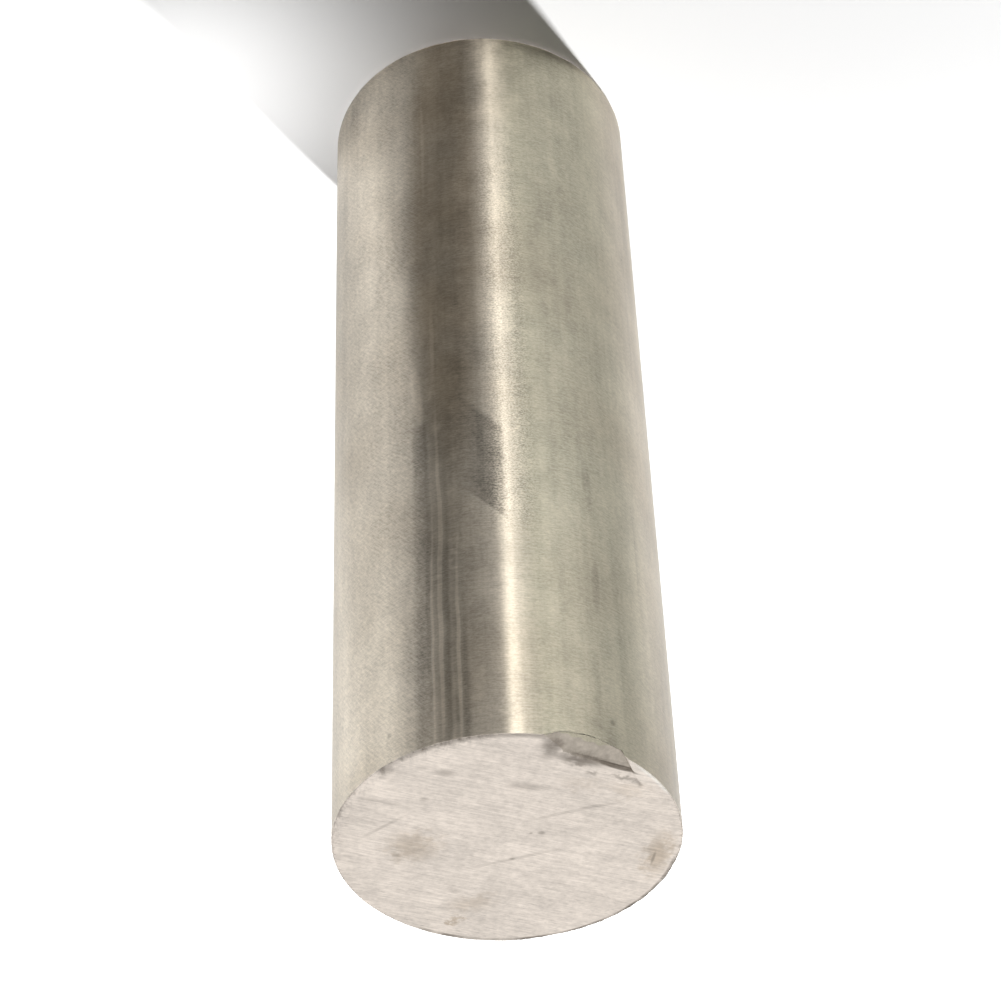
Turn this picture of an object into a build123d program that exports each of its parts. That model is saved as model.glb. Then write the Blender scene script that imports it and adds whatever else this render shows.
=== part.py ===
from build123d import *
import math
import os

# Round bar of cold-finished steel, sawn to length and standing on its plain end.
# Millimetres, +Z up. The origin is on the floor, under the bar's axis.
# The bar's axis runs along Z. Its top end has the breakout, on the side towards -Y.

# Bar stock
BAR_DIAMETER = 50.8
BAR_LENGTH = 152.4

# Edge breaks left by deburring the two sawn ends, at 45 degrees
TOP_EDGE_BREAK = 0.3
FOOT_EDGE_BREAK = 0.4

# Saw breakout: where the blade ran out of the top end, a flake tore off the rim.
# Its inner edge is a straight chord. The torn floor starts at a small step there
# and rolls over, as a quarter of an ellipse, into the bar's side below the face.
BREAKOUT_BEARING = 26.6        # degrees round the axis from -Y towards -X, square to the chord
BREAKOUT_REACH = 3.4           # from the rim in to the chord
BREAKOUT_STEP = 0.35           # depth below the face along the chord
BREAKOUT_ROLL = 1.5            # how much deeper the floor lies where it rolls into the side
CHORD_LEFT = 2.5               # from the bearing line to the chord's left end
CHORD_RIGHT = 9.1              # from the bearing line to the chord's right end
LEFT_WALL_LEAN = 58.0          # degrees from the bearing, towards the left, of the left wall
RIGHT_WALL_LEAN = 50.0         # the same for the right wall, which leans back over the floor
CUTTER_OVERRUN = 1.0           # how far the cutter stands out of the bar

BAR_RADIUS = BAR_DIAMETER / 2


def round_stock():
    """The plain bar, standing on the floor, with its edge breaks."""
    bar = Cylinder(BAR_RADIUS, BAR_LENGTH, align=(Align.CENTER, Align.CENTER, Align.MIN))
    bar = chamfer(bar.edges().group_by(Axis.Z)[-1], TOP_EDGE_BREAK)
    return chamfer(bar.edges().group_by(Axis.Z)[0], FOOT_EDGE_BREAK)


def breakout_plane():
    """On the top face: local X runs along the chord, Y out to the rim, Z out of the bar."""
    bearing = math.radians(BREAKOUT_BEARING)
    outward = Vector(-math.sin(bearing), -math.cos(bearing), 0)
    along_chord = Vector(-math.cos(bearing), math.sin(bearing), 0)
    middle_of_top = Vector(0, 0, BAR_LENGTH)
    chord_middle = middle_of_top + outward * (BAR_RADIUS - BREAKOUT_REACH)
    return Plane(origin=chord_middle, x_dir=along_chord, z_dir=(0, 0, 1))


def breakout_outline():
    """The flake's outline on the face, as a prism through the depth of the breakout."""
    height = BREAKOUT_REACH + CUTTER_OVERRUN
    left_top = -CHORD_LEFT - height * math.tan(math.radians(LEFT_WALL_LEAN))
    right_top = CHORD_RIGHT - height * math.tan(math.radians(RIGHT_WALL_LEAN))
    outline = Polyline(
        (-CHORD_LEFT, 0), (CHORD_RIGHT, 0), (right_top, height), (left_top, height), close=True
    )
    deepest = BREAKOUT_STEP + BREAKOUT_ROLL + CUTTER_OVERRUN
    return extrude(make_face(outline), deepest, both=True)


def breakout_floor():
    """The room above the torn floor: a step down, then the roll-over into the side."""
    deepest = -BREAKOUT_STEP - BREAKOUT_ROLL
    out_of_bar = BREAKOUT_REACH + CUTTER_OVERRUN
    roll = EllipticalCenterArc((0, deepest), BREAKOUT_REACH, BREAKOUT_ROLL, arc_size=90)
    rest = Polyline(
        roll @ 0, (out_of_bar, deepest), (out_of_bar, CUTTER_OVERRUN), (0, CUTTER_OVERRUN), roll @ 1
    )
    across = Plane(origin=(0, 0, 0), x_dir=(0, 1, 0), z_dir=(1, 0, 0))
    return extrude(across * make_face(roll + rest), BAR_DIAMETER, both=True)


def round_bar():
    """The finished bar."""
    flake = breakout_plane() * (breakout_outline() & breakout_floor())
    return round_stock() - flake


os.makedirs("parts", exist_ok=True)
export_step(round_bar(), "parts/round_bar.step")
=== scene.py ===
"""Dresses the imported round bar: its ground side, its sawn ends and the torn breakout at the top.

The row's frame holds: metres, +Z up, the floor at z = 0, and the bar standing with its axis along Z.
Sizes below are in millimetres unless a name says otherwise, and MM turns them into metres.

Places on the bar:
  u, v      across the bar from its axis, towards -X and towards -Y
  bearing   round the axis from -Y towards -X, in degrees
  below     the distance below the top end
"""

import math

import bpy
import numpy as np
from mathutils import Euler, Matrix, Vector, geometry, noise


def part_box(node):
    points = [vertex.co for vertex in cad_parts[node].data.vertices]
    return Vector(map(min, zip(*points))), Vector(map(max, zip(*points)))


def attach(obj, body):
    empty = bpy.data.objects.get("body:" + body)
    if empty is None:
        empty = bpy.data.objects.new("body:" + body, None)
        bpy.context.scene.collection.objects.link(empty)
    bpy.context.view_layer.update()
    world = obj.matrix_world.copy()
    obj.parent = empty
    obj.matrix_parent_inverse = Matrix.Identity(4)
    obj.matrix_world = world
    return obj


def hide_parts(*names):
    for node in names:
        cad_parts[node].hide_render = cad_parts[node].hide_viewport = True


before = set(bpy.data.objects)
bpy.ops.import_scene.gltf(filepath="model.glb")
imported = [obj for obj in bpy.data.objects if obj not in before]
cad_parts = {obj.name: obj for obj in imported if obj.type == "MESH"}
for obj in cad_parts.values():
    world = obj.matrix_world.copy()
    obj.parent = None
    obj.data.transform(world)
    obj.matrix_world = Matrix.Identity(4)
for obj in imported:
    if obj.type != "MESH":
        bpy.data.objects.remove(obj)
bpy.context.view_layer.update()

MM = 0.001

# The bar, from the frame
LOW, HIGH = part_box("round_bar")
RADIUS = (HIGH.x - LOW.x) / 2 / MM
LENGTH = (HIGH.z - LOW.z) / MM
TOP = Vector(((LOW.x + HIGH.x) / 2, (LOW.y + HIGH.y) / 2, HIGH.z))

# Mesh fineness
AROUND = 640                    # vertices in a ring round the bar
TOP_ZONE = 5.0                  # length below the top end with close rings
TOP_ZONE_RINGS = 22
RING_GROWTH = 1.3               # how quickly those rings spread out below the rim
BODY_RING_PITCH = 4.5
FOOT_ZONE = 3.0                 # length above the foot with none but its edge's rings
ROW_PITCH = 0.17                # between the top face's rows of points, along its saw lines
COLUMN_PITCH = 0.6
FINE_PITCH = 0.12               # round the breakout and the lip
FINE_ALONG = (-8.5, 11.0)       # where the fine points lie along the chord
FINE_MARGIN = 0.9               # how far they go in past the chord
FINE_LIP_MARGIN = 0.8           # and past the lip's inner edge
FOOT_ROW_PITCH = 0.22
FOOT_COLUMN_PITCH = 1.1
TOP_MARGIN = 0.15               # the coarse points keep this far from the rim's inner edge
FINE_RIM_MARGIN = 0.10          # as the fine ones do
FOOT_MARGIN = 0.20              # and the foot's

# Saw marks: lines that fall towards +u by a slope in degrees
SAW_PITCH = 0.68
TOP_SAW_SLOPE = 20.0
FOOT_SAW_SLOPE = -38.0
SAW_GROOVE = 0.045
SAW_WAVES = 0.04
SINGLE_LINES = 0.9              # depth of the deeper single lines, in grooves
FACE_MARGIN = 0.10              # the faces lie this far inside the CAD box, for the lip to stand on

# Breakout, as in the CAD model
BREAKOUT_BEARING = 26.6
BREAKOUT_REACH = 3.4
BREAKOUT_STEP = 0.35
BREAKOUT_ROLL = 1.5
CHORD_LEFT = 2.5
CHORD_RIGHT = 9.1
LEFT_WALL_LEAN = 58.0
RIGHT_WALL_LEAN = 50.0
TORN_FROM = 0.15                # the torn floor's finish starts at this depth
TORN_TO = 2.8                   # and ends this far out from the chord, where the floor rolls into the side
TORN_SHALLOWEST = 0.1
PLAIN_RIM_DEPTHS = (0.2, 0.8)   # the rim's worn edge fades out over these depths of the breakout

# Burr lip: the thin crescent of metal left standing on the rim beside the breakout
LIP_BEARING = 55.0
LIP_CENTRE = 34.9               # from the bar's axis to the centre of the lip's inner edge
LIP_EDGE_RADIUS = 11.8
LIP_TOP = 0.02                  # depth of the lip's top below the CAD box
LIP_HOLLOW = 0.05               # how much the face is hollowed along the lip's inner edge
LIP_HOLLOW_WIDTH = 1.6

# Worn edges
TOP_EDGE = 0.12
TOP_EDGE_LIP = 0.05             # on the burr lip
LIP_FROM, LIP_TO = 38, 72       # bearings of the lip
TOP_EDGE_WORN = 0.40            # on the side away from the breakout
WORN_FROM, WORN_TO = 100, 172   # bearings of that stretch
WORN_FADE = 6
LIP_FADE = 4
TOP_EDGE_LIMITS = (0.04, 0.5)
FOOT_EDGE = 0.35
MIDDLE_OF_EDGE = (0.3, 0.7)     # a worn edge's middle ring, in and down, in edge widths

# Lengthwise lines sunk in the side: bearing, from below, to below, width, depth
DRAW_LINES = (
    (-23.5, 62.0, 160.0, 0.30, 0.010),
    (-20.5, 62.0, 160.0, 0.25, 0.004),
    (-16.7, 0.0, 44.0, 0.25, 0.005),
)
LINE_FADE = 2.0                 # at each end of a line

# The mesh's material slots
SIDE_SLOT, END_SLOT, TORN_SLOT = 0, 1, 2


# ---------------------------------------------------------------- shape

def smoothstep(low, high, value):
    """0 below low, 1 above high, and a smooth rise between."""
    t = np.clip((value - low) / (high - low), 0, 1)
    return t * t * (3 - 2 * t)


def perlin(*coordinates):
    """Perlin noise, about -1 to 1, at points given as three coordinates, each an array or a number."""
    stacked = np.broadcast_arrays(*coordinates)
    flat = np.stack([c.ravel() for c in stacked], axis=1)
    values = np.array([noise.noise(Vector(p)) for p in flat.tolist()])
    return values.reshape(stacked[0].shape)


def uneven(u, v, amount, size, seed):
    """Unevenness up to an amount either way, with bumps of about the given size."""
    return amount * perlin(u / size, v / size, seed)


def turned(u, v, slope):
    """Coordinates along and across lines that fall towards +u by slope degrees."""
    angle = math.radians(slope)
    along = u * math.cos(angle) - v * math.sin(angle)
    across = u * math.sin(angle) + v * math.cos(angle)
    return along, across


def saw_marks(u, v, slope, seed):
    """Depth of the saw lines: an uneven regular pitch, deeper single lines, and a slow waviness."""
    along, across = turned(u, v, slope)
    wander = 0.35 * perlin(along / 22, across / 9, seed)
    strength = np.clip(0.55 + 0.6 * perlin(along / 7, across / 1.6, seed + 3), 0, 1)
    regular = 0.5 - 0.5 * np.cos(2 * math.pi * (across + wander) / SAW_PITCH)
    single = np.maximum(0, perlin(along / 30, across / 0.42, seed + 7))
    waves = 0.5 + 0.5 * perlin(along / 30, across / 5, seed + 11)
    return SAW_GROOVE * (strength * regular + SINGLE_LINES * single) + SAW_WAVES * waves


def chord_coordinates(u, v):
    """Along the breakout's chord, and outward from it."""
    along, outward = turned(u, v, BREAKOUT_BEARING)
    return along, outward - (RADIUS - BREAKOUT_REACH)


def breakout_depth(u, v):
    """Depth of the torn floor below the face, 0 outside the breakout."""
    along, outward = chord_coordinates(u, v)
    left_lean = math.radians(LEFT_WALL_LEAN)
    right_lean = math.radians(RIGHT_WALL_LEAN)
    ragged = uneven(u, v, 0.25, 0.9, 31) + uneven(u, v, 0.10, 0.4, 33)
    wander = uneven(along, outward, 0.10, 2.5, 35)
    from_left = (along + CHORD_LEFT + outward * math.tan(left_lean)) * math.cos(left_lean)
    from_right = (CHORD_RIGHT - along - outward * math.tan(right_lean)) * math.cos(right_lean)
    inside = (
        smoothstep(-0.6, 1.4, from_left + ragged)
        * smoothstep(-0.12, 0.12, outward + wander)
        * smoothstep(-0.1, 0.2, from_right + wander)
    )
    t = np.clip(outward / BREAKOUT_REACH, 0, 1)
    floor = BREAKOUT_STEP + BREAKOUT_ROLL * (1 - np.sqrt(1 - t * t))
    tear = 0.09 * perlin(along / 2.5, outward / 0.7, 41) + uneven(u, v, 0.02, 0.4, 43)
    return inside * np.maximum(floor + tear, TORN_SHALLOWEST)


def lip_centre():
    """The u and v of the centre of the lip's inner edge."""
    bearing = math.radians(LIP_BEARING)
    return LIP_CENTRE * math.sin(bearing), LIP_CENTRE * math.cos(bearing)


def lip_inset(u, v):
    """Distance inside the lip's inner edge, negative on the face beyond it."""
    centre_u, centre_v = lip_centre()
    return LIP_EDGE_RADIUS - np.hypot(u - centre_u, v - centre_v)


def top_depth(u, v):
    """Depth of the top end below the CAD face."""
    sawn = FACE_MARGIN + saw_marks(u, v, TOP_SAW_SLOPE, 5)
    inset = lip_inset(u, v) + uneven(u, v, 0.12, 0.8, 51)
    beside_lip = smoothstep(-LIP_HOLLOW_WIDTH, -0.1, inset) * (1 - smoothstep(-0.1, 0.1, inset))
    on_lip = smoothstep(-0.1, 0.12, inset)
    lip_top = np.maximum(LIP_TOP + uneven(u, v, 0.02, 1.5, 53), 0)
    face = (1 - on_lip) * (sawn + LIP_HOLLOW * beside_lip) + on_lip * lip_top
    return face + breakout_depth(u, v)


def foot_depth(u, v):
    """Depth of the foot above the CAD face, which is sawn like the top."""
    return FACE_MARGIN + saw_marks(u, v, FOOT_SAW_SLOPE, 105)


def stretch(value, rise_from, rise_to, fall_from, fall_to):
    """1 between a smooth rise and a smooth fall, 0 outside them."""
    return smoothstep(rise_from, rise_to, value) * (1 - smoothstep(fall_from, fall_to, value))


def top_edge(bearing):
    """Width of the top rim's worn edge at each bearing, in radians."""
    degrees = np.degrees(bearing)
    worn = stretch(
        degrees, WORN_FROM - WORN_FADE, WORN_FROM + WORN_FADE, WORN_TO - WORN_FADE, WORN_TO + WORN_FADE
    )
    on_lip = stretch(degrees, LIP_FROM, LIP_FROM + LIP_FADE, LIP_TO - LIP_FADE, LIP_TO)
    width = TOP_EDGE + (TOP_EDGE_WORN - TOP_EDGE) * worn + (TOP_EDGE_LIP - TOP_EDGE) * on_lip
    u, v = RADIUS * np.sin(bearing), RADIUS * np.cos(bearing)
    wear = 1 + uneven(u, v, 0.5, 1.6, 61) + uneven(u, v, 0.4, 0.5, 63)
    return np.clip(width * wear, *TOP_EDGE_LIMITS)


def foot_edge(bearing):
    """Width of the foot's worn edge at each bearing."""
    u, v = RADIUS * np.sin(bearing), RADIUS * np.cos(bearing)
    return FOOT_EDGE * (1 + uneven(u, v, 0.3, 2.5, 71))


def side_radius(bearing, below):
    """The side's radius: round, with the draw lines sunk in it."""
    radius = np.full(len(bearing), RADIUS)
    for line_bearing, start, end, width, depth in DRAW_LINES:
        across = (np.degrees(bearing) + 180 - line_bearing) % 360 - 180
        profile = np.exp(-((across * math.radians(1) * RADIUS / width) ** 2))
        along = stretch(below, start - LINE_FADE, start + LINE_FADE, end - LINE_FADE, end + LINE_FADE)
        radius = radius - depth * profile * along
    return radius


# ---------------------------------------------------------------- mesh

def rings_of_side():
    """Arrays u, v, below of the side's rings, from the top rim's inner edge to the foot's."""
    bearing = np.arange(AROUND) * 2 * math.pi / AROUND
    sine, cosine = np.sin(bearing), np.cos(bearing)
    top, foot = top_edge(bearing), foot_edge(bearing)
    plain = 1 - smoothstep(*PLAIN_RIM_DEPTHS, breakout_depth(RADIUS * sine, RADIUS * cosine))
    top_rim = top_depth(RADIUS * sine, RADIUS * cosine) + plain * top
    foot_rim = LENGTH - foot_depth(RADIUS * sine, RADIUS * cosine) - foot

    spread = [(step / TOP_ZONE_RINGS) ** RING_GROWTH for step in range(TOP_ZONE_RINGS)]
    heights = [top_rim + share * (TOP_ZONE - top_rim) for share in spread]
    body = LENGTH - FOOT_ZONE - TOP_ZONE
    body_rings = round(body / BODY_RING_PITCH)
    heights += [np.full(AROUND, TOP_ZONE + body * step / body_rings) for step in range(body_rings + 1)]
    heights.append(foot_rim)

    def ring(radius, below):
        return np.stack([radius * sine, radius * cosine, below], axis=1)

    inward, downward = MIDDLE_OF_EDGE
    near_rim = RADIUS - inward * top
    rolled = top_depth(near_rim * sine, near_rim * cosine)
    top_middle = ring(near_rim, plain * (top_rim - downward * top) + (1 - plain) * rolled)
    top_inner = ring(RADIUS - top, top_depth((RADIUS - top) * sine, (RADIUS - top) * cosine))
    side = [ring(side_radius(bearing, below), below) for below in heights]
    foot_middle = ring(RADIUS - inward * foot, foot_rim + downward * foot)
    foot_inner = ring(RADIUS - foot, LENGTH - foot_depth((RADIUS - foot) * sine, (RADIUS - foot) * cosine))
    return [top_inner, top_middle, *side, foot_middle, foot_inner]


def points_in_rows(row_pitch, column_pitch, slope):
    """Arrays u and v of points in rows that fall by slope, over a square round a face."""
    columns = np.arange(-RADIUS, RADIUS, column_pitch)
    rows = np.arange(-RADIUS, RADIUS, row_pitch)
    along, across = np.meshgrid(columns, rows)
    return turned(along.ravel(), across.ravel(), -slope)


def by_breakout(u, v):
    """True close to the breakout and the lip, where the top face needs finer points."""
    along, outward = chord_coordinates(u, v)
    near_chord = (along > FINE_ALONG[0]) & (along < FINE_ALONG[1]) & (outward > -FINE_MARGIN)
    return near_chord | (lip_inset(u, v) > -FINE_LIP_MARGIN)


def top_points():
    """Arrays u, v of the top face's coarse points and of its fine ones, each with its margin in the rim."""
    coarse_u, coarse_v = points_in_rows(ROW_PITCH, COLUMN_PITCH, TOP_SAW_SLOPE)
    plain = ~by_breakout(coarse_u, coarse_v)
    fine_u, fine_v = points_in_rows(FINE_PITCH, FINE_PITCH, BREAKOUT_BEARING)
    fine = by_breakout(fine_u, fine_v)
    return [(coarse_u[plain], coarse_v[plain], TOP_MARGIN), (fine_u[fine], fine_v[fine], FINE_RIM_MARGIN)]


def end_face(rim, row_sets, height_of):
    """Triangles that fill a rim, through the points of row_sets: each u, v and margin from the rim.

    Returns the points inside the rim, whose height comes from height_of, and the triangles. The
    triangles reach the rim's convex hull, so thin ones also lie outside the rim, in its hollows.
    """
    rim_radius = np.hypot(rim[:, 0], rim[:, 1])
    flat = [Vector(p) for p in rim[:, :2].tolist()]
    for u, v, margin in row_sets:
        bearing = np.arctan2(u, v) % (2 * math.pi)
        place = np.rint(bearing / (2 * math.pi) * AROUND).astype(int) % AROUND
        inside = np.hypot(u, v) < rim_radius[place] - margin
        flat += [Vector(p) for p in zip(u[inside].tolist(), v[inside].tolist())]
    loop = [(i, (i + 1) % AROUND) for i in range(AROUND)]
    found, _, triangles, _, _, _ = geometry.delaunay_2d_cdt(flat, loop, [], 1, 1e-6, False)
    if len(found) != len(flat):
        raise ValueError("the face's points don't match its triangles")
    inner = np.array([tuple(p) for p in found[AROUND:]])
    u, v = inner[:, 0], inner[:, 1]
    return np.stack([u, v, height_of(u, v)], axis=1), np.array(triangles)


def quads_between(rings):
    """Faces joining each ring to the next."""
    step = np.arange(AROUND)
    after = (step + 1) % AROUND
    faces = []
    for ring in range(rings - 1):
        a, b = ring * AROUND, (ring + 1) * AROUND
        faces.append(np.stack([b + step, b + after, a + after, a + step], axis=1))
    return np.concatenate(faces)


def slots_of(points, side_faces, top_faces, foot_faces):
    """Each face's material slot: the ground side, the sawn ends with their edges, or the torn floor."""
    def middles(faces):
        middle = points[faces].mean(axis=1)
        return middle[:, 0], middle[:, 1]

    edge_rows = 2 * AROUND
    rim_in_breakout = breakout_depth(*middles(side_faces[:edge_rows])) > TORN_FROM
    side = np.full(len(side_faces), SIDE_SLOT)
    side[:edge_rows] = np.where(rim_in_breakout, SIDE_SLOT, END_SLOT)
    side[-edge_rows:] = END_SLOT

    u, v = middles(top_faces)
    along, outward = chord_coordinates(u, v)
    rolled = outward + uneven(u, v, 0.5, 1.5, 81) > TORN_TO
    torn = np.where(rolled, SIDE_SLOT, TORN_SLOT)
    top = np.where(breakout_depth(u, v) > TORN_FROM, torn, END_SLOT)
    foot = np.full(len(foot_faces), END_SLOT)
    return np.concatenate([side, top, foot]).tolist()


def bar_mesh():
    """The whole bar as one mesh.

    It isn't closed: its ends face outward and its side inward, and end_face adds slivers at the rims.
    """
    rings = rings_of_side()
    count = len(rings) * AROUND
    top_inner, top_triangles = end_face(rings[0], top_points(), top_depth)
    foot_rows = points_in_rows(FOOT_ROW_PITCH, FOOT_COLUMN_PITCH, FOOT_SAW_SLOPE)
    foot_inner, foot_triangles = end_face(
        rings[-1], [(*foot_rows, FOOT_MARGIN)], lambda u, v: LENGTH - foot_depth(u, v)
    )

    def numbered(triangles, rim_start, inner_start):
        return np.where(triangles < AROUND, triangles + rim_start, triangles - AROUND + inner_start)

    top_faces = numbered(top_triangles, 0, count)
    foot_faces = numbered(foot_triangles, count - AROUND, count + len(top_inner))[:, ::-1]
    side_faces = quads_between(len(rings))
    points = np.concatenate(rings + [top_inner, foot_inner])
    faces = side_faces.tolist() + top_faces.tolist() + foot_faces.tolist()
    mesh = bpy.data.meshes.new("round_bar_dressed")
    mesh.from_pydata((points * -MM + np.array(TOP)).tolist(), [], faces)
    mesh.polygons.foreach_set("material_index", slots_of(points, side_faces, top_faces, foot_faces))
    mesh.polygons.foreach_set("use_smooth", [True] * len(faces))
    mesh.update()
    return mesh


# ---------------------------------------------------------------- node trees

class Tree:
    """A node tree, with short calls for the nodes used here."""

    def __init__(self, tree):
        self.tree = tree
        self.tree.nodes.clear()

    def node(self, kind, inputs=(), **settings):
        made = self.tree.nodes.new(kind)
        for name, value in settings.items():
            setattr(made, name, value)
        for name, value in dict(inputs).items():
            self.put(made.inputs[name], value)
        return made

    def put(self, socket, value):
        """Links a value that is a socket, and sets any other on the socket."""
        if isinstance(value, bpy.types.NodeSocket):
            self.tree.links.new(value, socket)
        else:
            socket.default_value = value

    def math(self, operation, *values):
        return self.node("ShaderNodeMath", enumerate(values), operation=operation).outputs[0]

    def total(self, *values):
        """The sum of several values."""
        result = values[0]
        for value in values[1:]:
            result = self.math("ADD", result, value)
        return result

    def product(self, *values):
        """Several values multiplied."""
        result = values[0]
        for value in values[1:]:
            result = self.math("MULTIPLY", result, value)
        return result

    def vector(self, operation, *values):
        return self.node("ShaderNodeVectorMath", enumerate(values), operation=operation)

    def join(self, x, y, z):
        return self.node("ShaderNodeCombineXYZ", {0: x, 1: y, 2: z}).outputs[0]

    def ramp(self, value, low, high, to_low=0.0, to_high=1.0, kind="SMOOTHSTEP"):
        """Goes from to_low to to_high while the value goes from low to high."""
        inputs = {"Value": value, "From Min": low, "From Max": high, "To Min": to_low, "To Max": to_high}
        return self.node("ShaderNodeMapRange", inputs, interpolation_type=kind).outputs[0]

    def swing(self, value, amount, low=0.3, high=0.7):
        """A noise's change either way, up to an amount."""
        return self.ramp(value, low, high, -amount, amount)

    def stretch(self, value, rise_from, rise_to, fall_from, fall_to):
        """1 between a rise and a fall, 0 outside them."""
        rise = self.ramp(value, rise_from, rise_to)
        fall = self.ramp(value, fall_from, fall_to, 1.0, 0.0)
        return self.product(rise, fall)

    def turned(self, place, slope):
        """A place turned by slope degrees round the third axis."""
        turn = {"Vector": place, "Axis": (0, 0, 1), "Angle": math.radians(slope)}
        return self.node("ShaderNodeVectorRotate", turn).outputs[0]

    def noise(self, place, scale, detail=2.0, roughness=0.5):
        """Noise, 0 to 1. scale is in waves per millimetre along each axis of place."""
        stretched = self.vector("MULTIPLY", place, scale).outputs[0]
        inputs = {"Vector": stretched, "Scale": 1.0, "Detail": detail, "Roughness": roughness}
        return self.node("ShaderNodeTexNoise", inputs).outputs["Fac"]

    def mix(self, share, first, second, blend="MIX"):
        made = self.node("ShaderNodeMix", data_type="RGBA", blend_type=blend)
        for socket, value in zip((made.inputs[0], made.inputs[6], made.inputs[7]), (share, first, second)):
            self.put(socket, value)
        return made.outputs[2]

    def shade(self, colour, factor):
        """The colour times a number."""
        grey = self.node("ShaderNodeCombineColor", {"Red": factor, "Green": factor, "Blue": factor})
        return self.mix(1.0, colour, grey.outputs[0], "MULTIPLY")

    def blot(self, place, centre, size, turn, soft, strength):
        """A soft-edged ellipse of the given half sizes, turned by degrees, strength at its middle."""
        inputs = {
            "Vector": place,
            "Location": (*centre, 0),
            "Rotation": (0, 0, math.radians(turn)),
            "Scale": (*size, 1),
        }
        local = self.node("ShaderNodeMapping", inputs, vector_type="TEXTURE").outputs[0]
        away = self.vector("LENGTH", local).outputs["Value"]
        return self.ramp(away, 1 - soft, 1 + soft, strength, 0.0)

    def blots(self, place, marks):
        """The sum of several blots, each given as centre, size, turn, soft and strength."""
        return self.total(*[self.blot(place, *mark) for mark in marks])


def place_on_bar(tree):
    """The shaded point's place from the top's middle, in millimetres, whole and as u, v and below."""
    coordinates = tree.node("ShaderNodeTexCoord").outputs["Object"]
    from_top = tree.vector("SUBTRACT", tuple(TOP), coordinates).outputs[0]
    place = tree.vector("MULTIPLY", from_top, (1 / MM,) * 3).outputs[0]
    parts = tree.node("ShaderNodeSeparateXYZ", {"Vector": place}).outputs
    return place, parts[0], parts[1], parts[2]


def metal(name, build):
    """A new metal whose node tree build(tree) fills, returning the shader's inputs."""
    material = bpy.data.materials.new(name)
    material.use_nodes = True
    tree = Tree(material.node_tree)
    shader = tree.node("ShaderNodeBsdfPrincipled", {"Metallic": 1.0, **build(tree)})
    out = tree.node("ShaderNodeOutputMaterial")
    tree.tree.links.new(shader.outputs[0], out.inputs["Surface"])
    return material


# ---------------------------------------------------------------- the ground side

SIDE_COLOUR = (0.50, 0.451, 0.377, 1)
SIDE_GREENER = (0.485, 0.455, 0.355, 1)
# the brown of the side's patchy warmth, and also the colour of the painted shade along its dark band
SIDE_BROWN_AND_SHADE = (0.33, 0.275, 0.205, 1)
SIDE_ROUGHNESS = 0.33
SIDE_ANISOTROPY = 1.0
SIDE_GRAZING = 0.85             # how much of a mirror's full brightness the steel keeps at a grazing angle
SIDE_BUMP = 0.02                # millimetres
STROKE_SLANT = 52.0             # of the strokes on the left, from level
PATCHY_WARMTH = 0.25            # the most brown that the slow noise brings
MARKS_SWAY = 0.35               # how far the marks on the side sway sideways, in millimetres

# How much each noise changes the side's tone, either way
STROKES_TONE = 0.09
SPECKLE_TONE = 0.11
GRAIN_TONE = 0.05
SLANTS_TONE = 0.14
LENGTHWISE_TONE = 0.04
BLOTCHES_TONE = 0.11
# the grain's painted glints in the bright streak
PAINTED_GLINT_TONE = 0.22

# Stretches of the side, along its arc or below the top end: where each rises from and to, and where it
# falls from and to
SLANTS_ARC = (-44.0, -36.0, -14.0, -8.0)
GREENER_ARC = (1.0, 6.0, 18.0, 30.0)
# where the painted glints lie
PAINTED_GLINT_ARC = (-2.5, 0.0, 4.0, 7.0)
PAINTED_GLINT_BELOW = (34.0, 44.0, 105.0, 140.0)
GRAIN_BELOW = (34.0, 44.0)      # where the grain's bump goes from its first strength to its second
GRAIN_BUMP = (0.3, 0.8)
BACK_V = (-14.0, 2.0)           # the painted light and shade fades out over this stretch of v, towards the back

# Painted light and shade, a slow change of tone that stands in for how light falls on the side: over an arc,
# from one tone to another, and over a stretch below the top end, from one share of it to another. The left is
# paler near the top end, and both sides are a little darker towards the foot.
PAINTED_LIGHT_AND_SHADE = (
    ((-16.0, -12.5, 0.16, 0.0), (10.0, 60.0, 1.0, 0.0)),
    ((-27.0, -21.0, -0.18, 0.0), (80.0, 130.0, 0.0, 1.0)),
    ((3.0, 9.0, 0.0, -0.10), (20.0, 80.0, 0.0, 1.0)),
    ((17.0, 24.0, 0.0, 0.14), (20.0, 80.0, 0.0, 1.0)),
)

# Marks on the side: (arc from bearing 0, below), half sizes, turn, softness, strength. Arc is in millimetres.
PALE_MARKS = (
    ((-10.4, 127.0), (0.30, 11.0), 0, 0.5, 0.16),
    ((-9.6, 79.0), (0.35, 7.0), 0, 0.5, 0.22),
    ((-9.1, 30.0), (0.38, 31.0), 0, 0.35, 0.36),
    ((-9.0, 60.6), (0.8, 1.3), 0, 0.6, 0.22),
    ((-10.4, 20.0), (0.22, 21.0), 0, 0.5, 0.20),
    ((-6.5, 16.0), (0.30, 18.0), 0, 0.4, 0.30),
    ((-7.5, 5.0), (0.30, 8.0), 0, 0.6, 0.18),
    ((-12.2, 68.5), (0.9, 6.0), 7, 0.4, 0.28),
    ((-28.4, 47.0), (5.0, 10.0), 8, 0.9, 0.08),
    ((-24.0, 8.0), (7.0, 8.0), 20, 0.9, 0.08),
    ((18.0, 12.0), (4.0, 5.0), -30, 0.9, 0.06),
)
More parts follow.
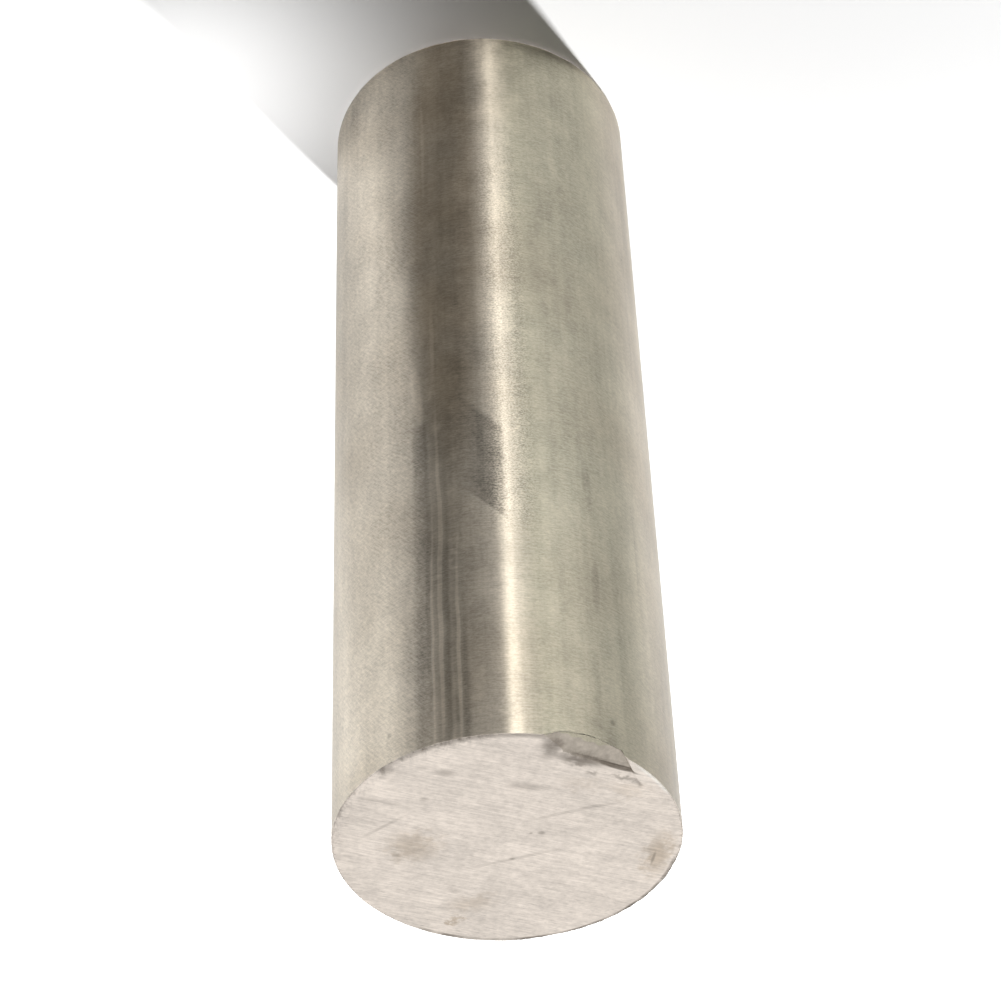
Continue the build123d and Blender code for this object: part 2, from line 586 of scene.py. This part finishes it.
DARK_MARKS = (
    ((-10.9, 31.0), (0.40, 31.0), 0, 0.5, 0.15),
    ((-8.1, 20.0), (0.45, 24.0), 0, 0.6, 0.20),
    ((-5.6, 8.0), (0.55, 14.0), 0, 0.7, 0.30),
    ((-3.9, 60.0), (2.3, 42.0), 0, 0.8, 0.22),
    ((14.2, 49.6), (0.75, 4.6), 0, 0.35, 0.15),
    ((14.6, 30.0), (0.75, 4.3), 0, 0.35, 0.15),
    ((13.8, 11.0), (0.60, 5.5), 0, 0.7, 0.10),
    ((23.8, 41.5), (0.25, 9.5), 0, 0.5, 0.10),
    ((-18.0, 5.0), (0.4, 0.4), 0, 0.5, 0.30),
    ((13.4, 3.8), (1.7, 0.9), -15, 0.9, 0.16),
    ((15.0, 1.6), (0.9, 1.0), 0, 0.9, 0.14),
    ((15.9, 5.4), (0.45, 0.4), 0, 0.6, 0.28),
    ((19.0, 20.0), (1.0, 12.0), 0, 0.9, 0.08),
)
# Painted shade along the dark band that the side mirrors: long brown marks that darken the band further
BROWN_BAND_SHADE = (
    ((-6.8, 14.0), (4.6, 44.0), 0, 0.7, 0.32),
    ((-7.0, 112.0), (5.7, 56.0), 0, 0.35, 0.76),
)

# Two dark patches: one by the bright streak, with slanted ends, and a strip at the dark band's left, which is
# painted shade that widens the dark band the side mirrors
PATCH_SLANT = 1.05              # the patch's ends slant by this much below for each unit of arc
PATCH_BELOW = (41.0, 41.9, 59.0, 61.0)
PATCH_ARC = (-6.5, -1.0, 0.3, 1.8)
PATCH_DARK = 0.40
BAND_EDGE_SHADE_ARC = (-13.7, -12.6, -11.4, -10.2)
BAND_EDGE_SHADE_END = (61.2, 62.6)
BAND_EDGE_SHADE = 0.26


def dark_patch_and_band_shade(tree, arc, below):
    """What the dark patch by the streak and the painted shade at the dark band's left take from the side's
    tone.
    """
    slanted = tree.total(below, tree.product(arc, PATCH_SLANT))
    patch = tree.product(tree.stretch(slanted, *PATCH_BELOW), tree.stretch(arc, *PATCH_ARC), -PATCH_DARK)
    # the strip: painted shade at the dark band's left edge
    ended = tree.ramp(below, *BAND_EDGE_SHADE_END, 1.0, 0.0)
    strip = tree.product(ended, tree.stretch(arc, *BAND_EDGE_SHADE_ARC), -BAND_EDGE_SHADE)
    return tree.total(patch, strip)


def painted_glints(tree, grain, arc, below):
    """Painted glints: the grain's extra contrast in colour in the middle of the bright streak."""
    in_streak = tree.product(tree.stretch(arc, *PAINTED_GLINT_ARC), tree.stretch(below, *PAINTED_GLINT_BELOW))
    return tree.product(in_streak, tree.swing(grain, PAINTED_GLINT_TONE, 0.32, 0.68))


def painted_light_and_shade(tree, arc, below, v):
    """Painted light and shade: the slow change of tone on the half of the side towards -Y."""
    parts = [tree.product(tree.ramp(below, *share), tree.ramp(arc, *tone)) for tone, share in PAINTED_LIGHT_AND_SHADE]
    return tree.product(tree.total(*parts), tree.ramp(v, *BACK_V))


def ground_side(tree):
    """The side: satin steel with short grinding strokes, lines along it, stains and smudges, with painted
    shade along its dark band, painted glints in its bright streak and painted light and shade that slowly
    changes its tone.
    """
    place, u, v, below = place_on_bar(tree)
    arc = tree.product(tree.math("ARCTAN2", u, v), RADIUS)
    sway = tree.swing(tree.noise(place, (0.0, 0.0, 0.035)), MARKS_SWAY)
    on_side = tree.join(tree.total(arc, sway), below, 0.0)
    on_left = tree.stretch(arc, *SLANTS_ARC)

    strokes = tree.noise(place, (0.5, 0.5, 5.0), detail=3.0, roughness=0.65)
    speckle = tree.noise(place, (1.7, 1.7, 4.2), detail=3.0, roughness=0.65)
    slants = tree.noise(tree.turned(on_side, STROKE_SLANT), (0.55, 3.2, 1.0), detail=3.0, roughness=0.65)
    grain = tree.noise(place, (3.2, 3.2, 5.5), detail=2.0, roughness=0.7)
    lengthwise = tree.noise(place, (0.7, 0.7, 0.012), detail=3.0, roughness=0.6)
    blotches = tree.noise(place, (0.16, 0.16, 0.10), detail=5.0, roughness=0.65)
    warmth = tree.noise(place, (0.05, 0.05, 0.05))

    tone = tree.total(
        1.0,
        # painted light and shade
        painted_light_and_shade(tree, arc, below, v),
        tree.swing(strokes, STROKES_TONE),
        tree.swing(speckle, SPECKLE_TONE),
        tree.swing(grain, GRAIN_TONE),
        tree.product(on_left, tree.swing(slants, SLANTS_TONE)),
        tree.swing(lengthwise, LENGTHWISE_TONE, 0.35, 0.65),
        tree.swing(blotches, BLOTCHES_TONE),
        tree.blots(on_side, PALE_MARKS),
        tree.product(tree.blots(on_side, DARK_MARKS), -1.0),
        # a dark patch, and painted shade at the dark band's left
        dark_patch_and_band_shade(tree, arc, below),
        # painted glints
        painted_glints(tree, grain, arc, below),
    )
    # brown holds the slow noise's warmth and the painted shade along the dark band
    brown = tree.total(tree.ramp(warmth, 0.4, 0.7, 0.0, PATCHY_WARMTH), tree.blots(on_side, BROWN_BAND_SHADE))
    colour = tree.mix(tree.stretch(arc, *GREENER_ARC), SIDE_COLOUR, SIDE_GREENER)
    colour = tree.shade(tree.mix(brown, colour, SIDE_BROWN_AND_SHADE), tone)
    roughness = tree.total(SIDE_ROUGHNESS, tree.swing(strokes, 0.04, 0.25, 0.75), tree.swing(blotches, 0.02))
    height = tree.total(
        tree.product(strokes, 0.3),
        tree.product(speckle, 0.7),
        tree.product(on_left, slants, 0.4),
        tree.product(grain, tree.ramp(below, *GRAIN_BELOW, *GRAIN_BUMP)),
    )
    bump = tree.node("ShaderNodeBump", {"Height": height, "Strength": 0.6, "Distance": SIDE_BUMP * MM})
    tangent = tree.node("ShaderNodeTangent", direction_type="RADIAL", axis="Z")
    return {
        "Base Color": colour,
        "Roughness": roughness,
        "Anisotropic": SIDE_ANISOTROPY,
        "Anisotropic Rotation": 0.25,
        "Specular Tint": (SIDE_GRAZING, SIDE_GRAZING, SIDE_GRAZING, 1),
        "Normal": bump.outputs[0],
        "Tangent": tangent.outputs[0],
    }


# ---------------------------------------------------------------- the sawn ends

END_COLOUR = (0.78, 0.715, 0.65, 1)
END_BROWN = (0.46, 0.37, 0.27, 1)
END_DARK = (0.20, 0.17, 0.14, 1)
# the colour of the painted highlight on the lip
LIP_HIGHLIGHT_COLOUR = (0.88, 0.84, 0.78, 1)
END_ROUGHNESS = 0.65
END_BUMP = 0.03                 # millimetres
NO_MARKS_BELOW = (60.0, 70.0)   # the marks are on the top end alone, and stop on the way down

# How much each noise changes the ends' tone, either way
LINES_TONE = 0.07
FINE_TONE = 0.06
BROAD_TONE = 0.04
MOTTLE_TONE = 0.07
PATCHES_TONE = 0.06
DASHES_TONE = 0.10

# Marks on the top face: (u, v), half sizes, turn, softness, strength
STAINS_AND_LIP_SHADOW = (
    ((-13.6, -0.4), (3.0, 2.9), -20, 0.8, 0.42),
    ((21.9, -4.0), (1.6, 4.4), -8, 0.8, 0.55),
    ((-7.8, -19.5), (1.0, 0.8), 0, 0.6, 0.60),
    ((-5.5, -15.3), (3.0, 1.6), 15, 0.9, 0.28),
    # this one, below the lip, is a painted shadow of the lip in the stains' brown
    ((16.8, 11.8), (2.6, 1.3), -20, 0.9, 0.20),
    ((10.5, 13.5), (2.4, 1.2), -15, 0.9, 0.15),
)
SMUDGES = (
    ((2.4, 13.2), (2.5, 0.8), -10, 0.8, 0.28),
    ((-8.7, 16.8), (1.2, 0.7), -15, 0.8, 0.35),
    ((-17.2, 17.8), (1.1, 0.7), 30, 0.8, 0.40),
    ((4.9, 2.0), (0.5, 0.4), 0, 0.6, 0.45),
    ((3.4, 2.0), (0.25, 0.2), 0, 0.6, 0.40),
    ((-7.8, -12.0), (0.8, 0.5), 0, 0.8, 0.20),
    ((-16.2, -2.6), (0.5, 0.4), 0, 0.8, 0.35),
    ((0.7, -4.2), (0.4, 0.3), 0, 0.8, 0.35),
    ((-11.8, 10.8), (0.6, 0.4), 0, 0.8, 0.30),
    ((21.3, -4.8), (0.20, 1.4), -10, 0.6, 0.45),
)
SCRATCHES = (
    ((-17.8, 4.5), (3.4, 0.26), 38, 0.9, 0.26),
    ((1.5, -4.0), (5.6, 0.26), 18, 0.9, 0.24),
    ((8.0, 6.7), (3.9, 0.30), 18, 0.9, 0.24),
    ((13.2, 8.2), (2.1, 0.30), 11, 0.9, 0.22),
    ((-18.0, 10.5), (2.6, 0.22), -20, 0.9, 0.18),
)

# Dirt and painted shade round the breakout: a crisp dark line in its step, which is painted shade of the
# step's wall, a blob of dirt at the chord's left, and patches beside it, of which the last two are a painted
# shadow of the lip.
# Each is given as the marks above.
STEP_SHADE_LINE = ((15.5, 17.0), (3.0, 0.32), -BREAKOUT_BEARING, 0.35, 0.85)
BREAKOUT_DIRT_AND_SHADE = (
    ((10.4, 19.0), (3.3, 0.95), -18, 0.8, 0.80),
    ((9.8, 17.9), (0.9, 0.35), -10, 0.8, 0.45),
    ((6.0, 22.3), (1.1, 1.5), 20, 0.8, 0.66),
    ((7.3, 22.3), (0.5, 0.9), 35, 0.7, 0.35),
    ((5.4, 20.2), (0.7, 1.1), 0, 0.9, 0.25),
    ((11.9, 15.8), (0.8, 0.35), -15, 0.8, 0.45),
    # these two: a painted shadow of the lip along its inner edge
    ((16.4, 14.6), (1.9, 0.35), -22, 0.8, 0.50),
    ((18.5, 13.1), (0.8, 0.4), -55, 0.9, 0.45),
)

# Dirt, a dark line and painted shade on the rim: how dark each gets, the distances from the axis over which
# it sets in, and where it starts and ends in u and v. The front's is painted shade, which dulls the rim's
# reflection there.
LEFT_DIRT, LEFT_DIRT_FROM_AXIS = 0.34, (22.6, 25.3)
LEFT_DIRT_U, LEFT_DIRT_V = (-6.0, 0.0), (-6.0, 4.0)
AWAY_RIM_DARK, AWAY_RIM_DARK_FROM_AXIS = 0.80, (24.5, 24.85)
AWAY_SLOPE, AWAY_LINE = 2.2, (30.0, 40.0)
# painted shade on the front of the rim
FRONT_RIM_SHADE, FRONT_RIM_SHADE_FROM_AXIS = 0.50, (24.2, 25.2)
FRONT_RIM_SHADE_U, FRONT_RIM_SHADE_V = (-19.0, -12.0, 6.0, 9.0), (10.0, 14.0)

# The lip's painted highlight: on its rim, and a fainter one at its end beside the breakout
LIP_RIM_INSET = (0.5, 1.6)
LIP_RIM_FROM_AXIS = (24.7, 25.1)
LIP_SPOT = 0.25
LIP_SPOT_FROM_CENTRE = (11.5, 11.8)
LIP_SPOT_V = (12.0, 17.0)


def ragged(tree, shake, amount, u, v):
    """u and v as one flat place, moved about by a noise, so that marks on it get ragged edges."""
    move = tree.swing(shake, amount, 0.2, 0.8)
    return tree.join(tree.total(u, move), tree.total(v, move), 0.0)


def breakout_dirt_and_shade(tree, place, u, v):
    """How much dirt and painted shade lies round the breakout."""
    flat = ragged(tree, tree.noise(place, (0.9, 0.9, 0.9), detail=3.0, roughness=0.6), 0.35, u, v)
    return tree.total(tree.blots(flat, BREAKOUT_DIRT_AND_SHADE), tree.blot(tree.join(u, v, 0.0), *STEP_SHADE_LINE))


def rim_dirt_and_shade(tree, place, u, v):
    """Darkening on the rim: dashes of dirt at the left, a thin dark line away from the breakout, and painted
    shade that dulls the front.
    """
    from_axis = tree.vector("LENGTH", tree.join(u, v, 0.0)).outputs["Value"]
    dashes = tree.ramp(tree.noise(place, (1.0, 0.45, 0.5), detail=3.0, roughness=0.6), 0.44, 0.66)
    gaps = tree.ramp(tree.noise(place, (0.3, 0.3, 0.3), detail=2.0), 0.35, 0.65, 0.35, 1.0)
    left = tree.product(tree.ramp(u, *LEFT_DIRT_U, 1.0, 0.0), tree.ramp(v, *LEFT_DIRT_V), dashes)
    away = tree.product(tree.ramp(tree.total(u, tree.product(v, -AWAY_SLOPE)), *AWAY_LINE), gaps)
    # front is painted shade, which dulls the front of the rim where it mirrors the strip lamps
    front = tree.product(tree.stretch(u, *FRONT_RIM_SHADE_U), tree.ramp(v, *FRONT_RIM_SHADE_V))
    return tree.total(
        tree.product(left, tree.ramp(from_axis, *LEFT_DIRT_FROM_AXIS, 0.0, LEFT_DIRT)),
        tree.product(away, tree.ramp(from_axis, *AWAY_RIM_DARK_FROM_AXIS, 0.0, AWAY_RIM_DARK)),
        tree.product(front, tree.ramp(from_axis, *FRONT_RIM_SHADE_FROM_AXIS, 0.0, FRONT_RIM_SHADE)),
    )


def lip_painted_highlight(tree, flat, v):
    """Where the lip's painted highlight lies."""
    from_axis = tree.vector("LENGTH", flat).outputs["Value"]
    from_centre = tree.vector("DISTANCE", flat, (*lip_centre(), 0)).outputs["Value"]
    least, most = LIP_RIM_INSET
    on_lip = tree.ramp(from_centre, LIP_EDGE_RADIUS - most, LIP_EDGE_RADIUS - least, 1.0, 0.0)
    rim = tree.product(on_lip, tree.ramp(from_axis, *LIP_RIM_FROM_AXIS))
    at_end = tree.ramp(from_centre, *LIP_SPOT_FROM_CENTRE, LIP_SPOT, 0.0)
    return tree.math("MAXIMUM", tree.product(at_end, tree.ramp(v, *LIP_SPOT_V)), rim)


def sawn_end(tree):
    """The ends: dull sawn steel, paler than the side, with stains, dirt and scratches on the top one, a
    painted highlight on its lip, and painted shade round the breakout and on the front of its rim.
    """
    place, u, v, below = place_on_bar(tree)
    on_top = tree.ramp(below, *NO_MARKS_BELOW, 1.0, 0.0)
    flat = tree.join(u, v, 0.0)
    stained = ragged(tree, tree.noise(place, (0.6, 0.6, 0.6), detail=4.0, roughness=0.65), 1.6, u, v)
    in_line = tree.turned(place, TOP_SAW_SLOPE)
    lines = tree.noise(in_line, (0.16, 2.6, 1.0), detail=3.0, roughness=0.7)
    dashes = tree.noise(in_line, (0.7, 3.2, 1.0), detail=3.0, roughness=0.6)
    fine = tree.noise(in_line, (0.5, 6.0, 1.0), detail=2.0, roughness=0.6)
    broad = tree.noise(in_line, (0.06, 0.4, 1.0), detail=3.0, roughness=0.6)
    mottle = tree.noise(place, (0.9, 0.9, 0.9), detail=5.0, roughness=0.75)
    patches = tree.noise(place, (0.12, 0.12, 0.12), detail=4.0, roughness=0.6)
    tone = tree.total(
        1.0,
        tree.swing(lines, LINES_TONE),
        tree.product(tree.ramp(dashes, 0.55, 0.75, 0.0, -DASHES_TONE), tree.ramp(v, -22.0, -8.0, 2.0, 1.0)),
        tree.swing(fine, FINE_TONE),
        tree.swing(broad, BROAD_TONE),
        tree.swing(mottle, MOTTLE_TONE),
        tree.swing(patches, PATCHES_TONE),
    )
    # the lip's painted highlight
    colour = tree.mix(tree.product(on_top, lip_painted_highlight(tree, flat, v)), END_COLOUR, LIP_HIGHLIGHT_COLOUR)
    colour = tree.mix(tree.product(on_top, tree.blots(stained, STAINS_AND_LIP_SHADOW)), colour, END_BROWN)
    dark = tree.total(
        tree.product(tree.blots(flat, SCRATCHES), tree.ramp(mottle, 0.35, 0.55, 0.3, 1.1)),
        tree.blots(flat, SMUDGES),
        # dirt and painted shade round the breakout
        breakout_dirt_and_shade(tree, place, u, v),
        # dirt, a dark line and painted shade on the rim
        rim_dirt_and_shade(tree, place, u, v),
    )
    colour = tree.shade(tree.mix(tree.product(on_top, dark), colour, END_DARK), tone)
    height = tree.total(tree.product(lines, 0.5), tree.product(mottle, 0.5))
    bump = tree.node("ShaderNodeBump", {"Height": height, "Strength": 0.5, "Distance": END_BUMP * MM})
    return {"Base Color": colour, "Roughness": END_ROUGHNESS, "Normal": bump.outputs[0]}


# ---------------------------------------------------------------- the torn floor

TORN_COLOUR = (0.47, 0.42, 0.36, 1)
TORN_ROUGHNESS = 0.5
TORN_BUMP = 0.06                # millimetres


def torn_floor(tree):
    """The breakout's floor: torn, dull and dirty, with the painted shade round the breakout."""
    place, u, v, _ = place_on_bar(tree)
    grain = tree.noise(place, (1.0, 1.0, 0.6), detail=5.0, roughness=0.65)
    colour = tree.mix(breakout_dirt_and_shade(tree, place, u, v), TORN_COLOUR, END_DARK)
    bump = tree.node("ShaderNodeBump", {"Height": grain, "Strength": 0.4, "Distance": TORN_BUMP * MM})
    return {
        "Base Color": tree.shade(colour, tree.ramp(grain, 0.3, 0.7, 0.84, 1.10)),
        "Roughness": TORN_ROUGHNESS,
        "Normal": bump.outputs[0],
    }


# ---------------------------------------------------------------- studio

FLOOR_COLOUR = (0.8, 0.8, 0.8, 1)
FLOOR_GLOW = 0.03               # what the floor adds where the camera or the metal sees it
FAR_GLOW = 0.85                 # the same far from the bar, where no lamp reaches
FAR_FROM, FAR_TO = 0.38, 0.75   # metres from the axis
FLOOR_HALF = 4.0                # metres
ROOM_LIGHT = 0.03               # the room's light on the floor

# Lamps: bearing, distance from the axis and height, in degrees and metres. The key lamp stands low
# behind the bar, so that the bar's shadow falls in front. It and the pool lamps light the floor only.
KEY_PLACE = (145.0, 0.50, 0.36)
KEY_AIM = (-110.0, 0.60, 0.36)
KEY_SIZE = 0.05
KEY_WATTS = 12.3

# Pool lamps facing straight down on the floor at the left and the right: bearing, distance, height, watts
POOLS = (
    (-74.0, 0.055, 0.05, 0.014),
    (-80.0, 0.21, 0.10, 0.062),
    (-115.0, 0.24, 0.15, 0.10),
    (110.0, 0.20, 0.15, 0.06),
    (42.0, 0.20, 0.15, 0.06),
    (35.0, 0.50, 0.40, 0.80),
)
POOL_SIZE = 0.05
POOL_SPREAD = 90.0

# Low strip lamps in front of the bar, which only the metal sees: bearing, width, watts
STRIPS = ((6.0, 0.06, 1.06), (11.0, 0.12, 0.44), (22.0, 0.30, 0.31))
STRIP_DISTANCE = 0.8
STRIP_HEIGHT = 0.13             # below the bar's top end, so that the top face doesn't mirror them
STRIP_MIDDLE = 0.08
STRIP_COLOUR = (1, 0.985, 0.94)

# The camera: where it stands, in metres, and how it looks. It is turned over, so that the bar's top end
# is at the bottom of the picture, where the photograph has it.
CAMERA_PLACE = (0.0088, -0.3437, 0.3993)
CAMERA_DOWN = 42.384            # degrees below level
CAMERA_AZIMUTH = -1.653         # degrees from +Y towards +X
CAMERA_TURN = 177.549
CAMERA_LENS = 104.75
CAMERA_SENSOR = 36.0


def seen_directly(tree):
    """1 for the rays of the camera and of the metal's reflections, 0 for soft light."""
    path = tree.node("ShaderNodeLightPath").outputs
    seen = tree.math("MAXIMUM", path["Is Camera Ray"], path["Is Glossy Ray"])
    return tree.math("MAXIMUM", seen, path["Is Transmission Ray"])


def floor_material():
    """A white floor that keeps the bar's shadow. Metal sees it as the camera does."""
    material = bpy.data.materials.new("floor_white")
    material.use_nodes = True
    tree = Tree(material.node_tree)
    diffuse = tree.node("ShaderNodeBsdfDiffuse", {"Color": FLOOR_COLOUR})
    coordinates = tree.node("ShaderNodeTexCoord").outputs["Object"]
    away = tree.vector("LENGTH", coordinates).outputs["Value"]
    strength = tree.ramp(away, FAR_FROM, FAR_TO, FLOOR_GLOW, FAR_GLOW)
    glow = tree.node("ShaderNodeEmission", {"Color": (1, 1, 1, 1), "Strength": strength})
    lifted = tree.node("ShaderNodeAddShader", {0: diffuse.outputs[0], 1: glow.outputs[0]})
    shaders = {0: seen_directly(tree), 1: diffuse.outputs[0], 2: lifted.outputs[0]}
    mixed = tree.node("ShaderNodeMixShader", shaders)
    out = tree.node("ShaderNodeOutputMaterial")
    tree.tree.links.new(mixed.outputs[0], out.inputs["Surface"])
    return material


def floor():
    """The plain floor under the bar."""
    mesh = bpy.data.meshes.new("floor")
    corners = [(-1, -1), (1, -1), (1, 1), (-1, 1)]
    mesh.from_pydata([(x * FLOOR_HALF, y * FLOOR_HALF, LOW.z) for x, y in corners], [], [(0, 1, 2, 3)])
    mesh.materials.append(floor_material())
    made = bpy.data.objects.new("floor", mesh)
    bpy.context.scene.collection.objects.link(made)


def room():
    """The world: white to the camera and in the metal, and a soft even light on the floor."""
    world = bpy.data.worlds.new("room")
    bpy.context.scene.world = world
    world.use_nodes = True
    tree = Tree(world.node_tree)
    strength = tree.ramp(seen_directly(tree), 0.0, 1.0, ROOM_LIGHT, 1.0, "LINEAR")
    background = tree.node("ShaderNodeBackground", {"Color": (1, 1, 1, 1), "Strength": strength})
    out = tree.node("ShaderNodeOutputWorld")
    tree.tree.links.new(background.outputs[0], out.inputs["Surface"])


def standing_point(bearing, distance, height):
    """A point at a bearing and distance from the bar's axis, and a height, in metres."""
    turn = math.radians(bearing)
    return Vector((TOP.x - distance * math.sin(turn), TOP.y - distance * math.cos(turn), height))


def lamp(name, place, aim, width, length, watts):
    """An area lamp at one standing point, facing another."""
    light = bpy.data.lights.new(name, "AREA")
    light.shape = "RECTANGLE"
    light.size, light.size_y = width, length
    light.energy = watts
    made = bpy.data.objects.new(name, light)
    made.location = standing_point(*place)
    made.rotation_euler = (made.location - standing_point(*aim)).to_track_quat("Z", "Y").to_euler()
    bpy.context.scene.collection.objects.link(made)
    return made


def lamps():
    """The floor's lamps, behind and beside the bar, and the strips in front of it."""
    key = lamp("key", KEY_PLACE, KEY_AIM, KEY_SIZE, KEY_SIZE, KEY_WATTS)
    key.visible_glossy = False
    for bearing, distance, height, watts in POOLS:
        on_floor = (bearing, distance, 0.0)
        pool = lamp("pool", (bearing, distance, height), on_floor, POOL_SIZE, POOL_SIZE, watts)
        pool.data.spread = math.radians(POOL_SPREAD)
        pool.visible_glossy = False
    on_axis = (0.0, 0.0, STRIP_MIDDLE)
    for bearing, width, watts in STRIPS:
        place = (bearing, STRIP_DISTANCE, STRIP_MIDDLE)
        strip = lamp("strip", place, on_axis, width, STRIP_HEIGHT, watts)
        strip.data.color = STRIP_COLOUR
        strip.visible_diffuse = False
        strip.visible_camera = False


def camera():
    """The camera at the photograph's viewing angle to the bar."""
    lens = bpy.data.cameras.new("camera")
    lens.lens = CAMERA_LENS
    lens.sensor_width = CAMERA_SENSOR
    lens.clip_start = 0.01
    made = bpy.data.objects.new("camera", lens)
    aim = Euler((math.radians(90 - CAMERA_DOWN), 0, math.radians(-CAMERA_AZIMUTH))).to_matrix()
    turned_over = Matrix.Rotation(math.radians(CAMERA_TURN), 3, "Z")
    made.location = CAMERA_PLACE
    made.rotation_euler = (aim @ turned_over).to_euler()
    bpy.context.scene.collection.objects.link(made)
    bpy.context.scene.camera = made


# ---------------------------------------------------------------- the scene

def dressed_bar():
    """The bar's visible mesh, with its three finishes."""
    made = bpy.data.objects.new("round_bar_dressed", bar_mesh())
    bpy.context.scene.collection.objects.link(made)
    for name, build in (("ground_side", ground_side), ("sawn_end", sawn_end), ("torn_floor", torn_floor)):
        made.data.materials.append(metal(name, build))
    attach(made, "root")
    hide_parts("round_bar")


camera()
floor()
room()
lamps()
dressed_bar()
bpy.context.scene.view_settings.view_transform = "Standard"
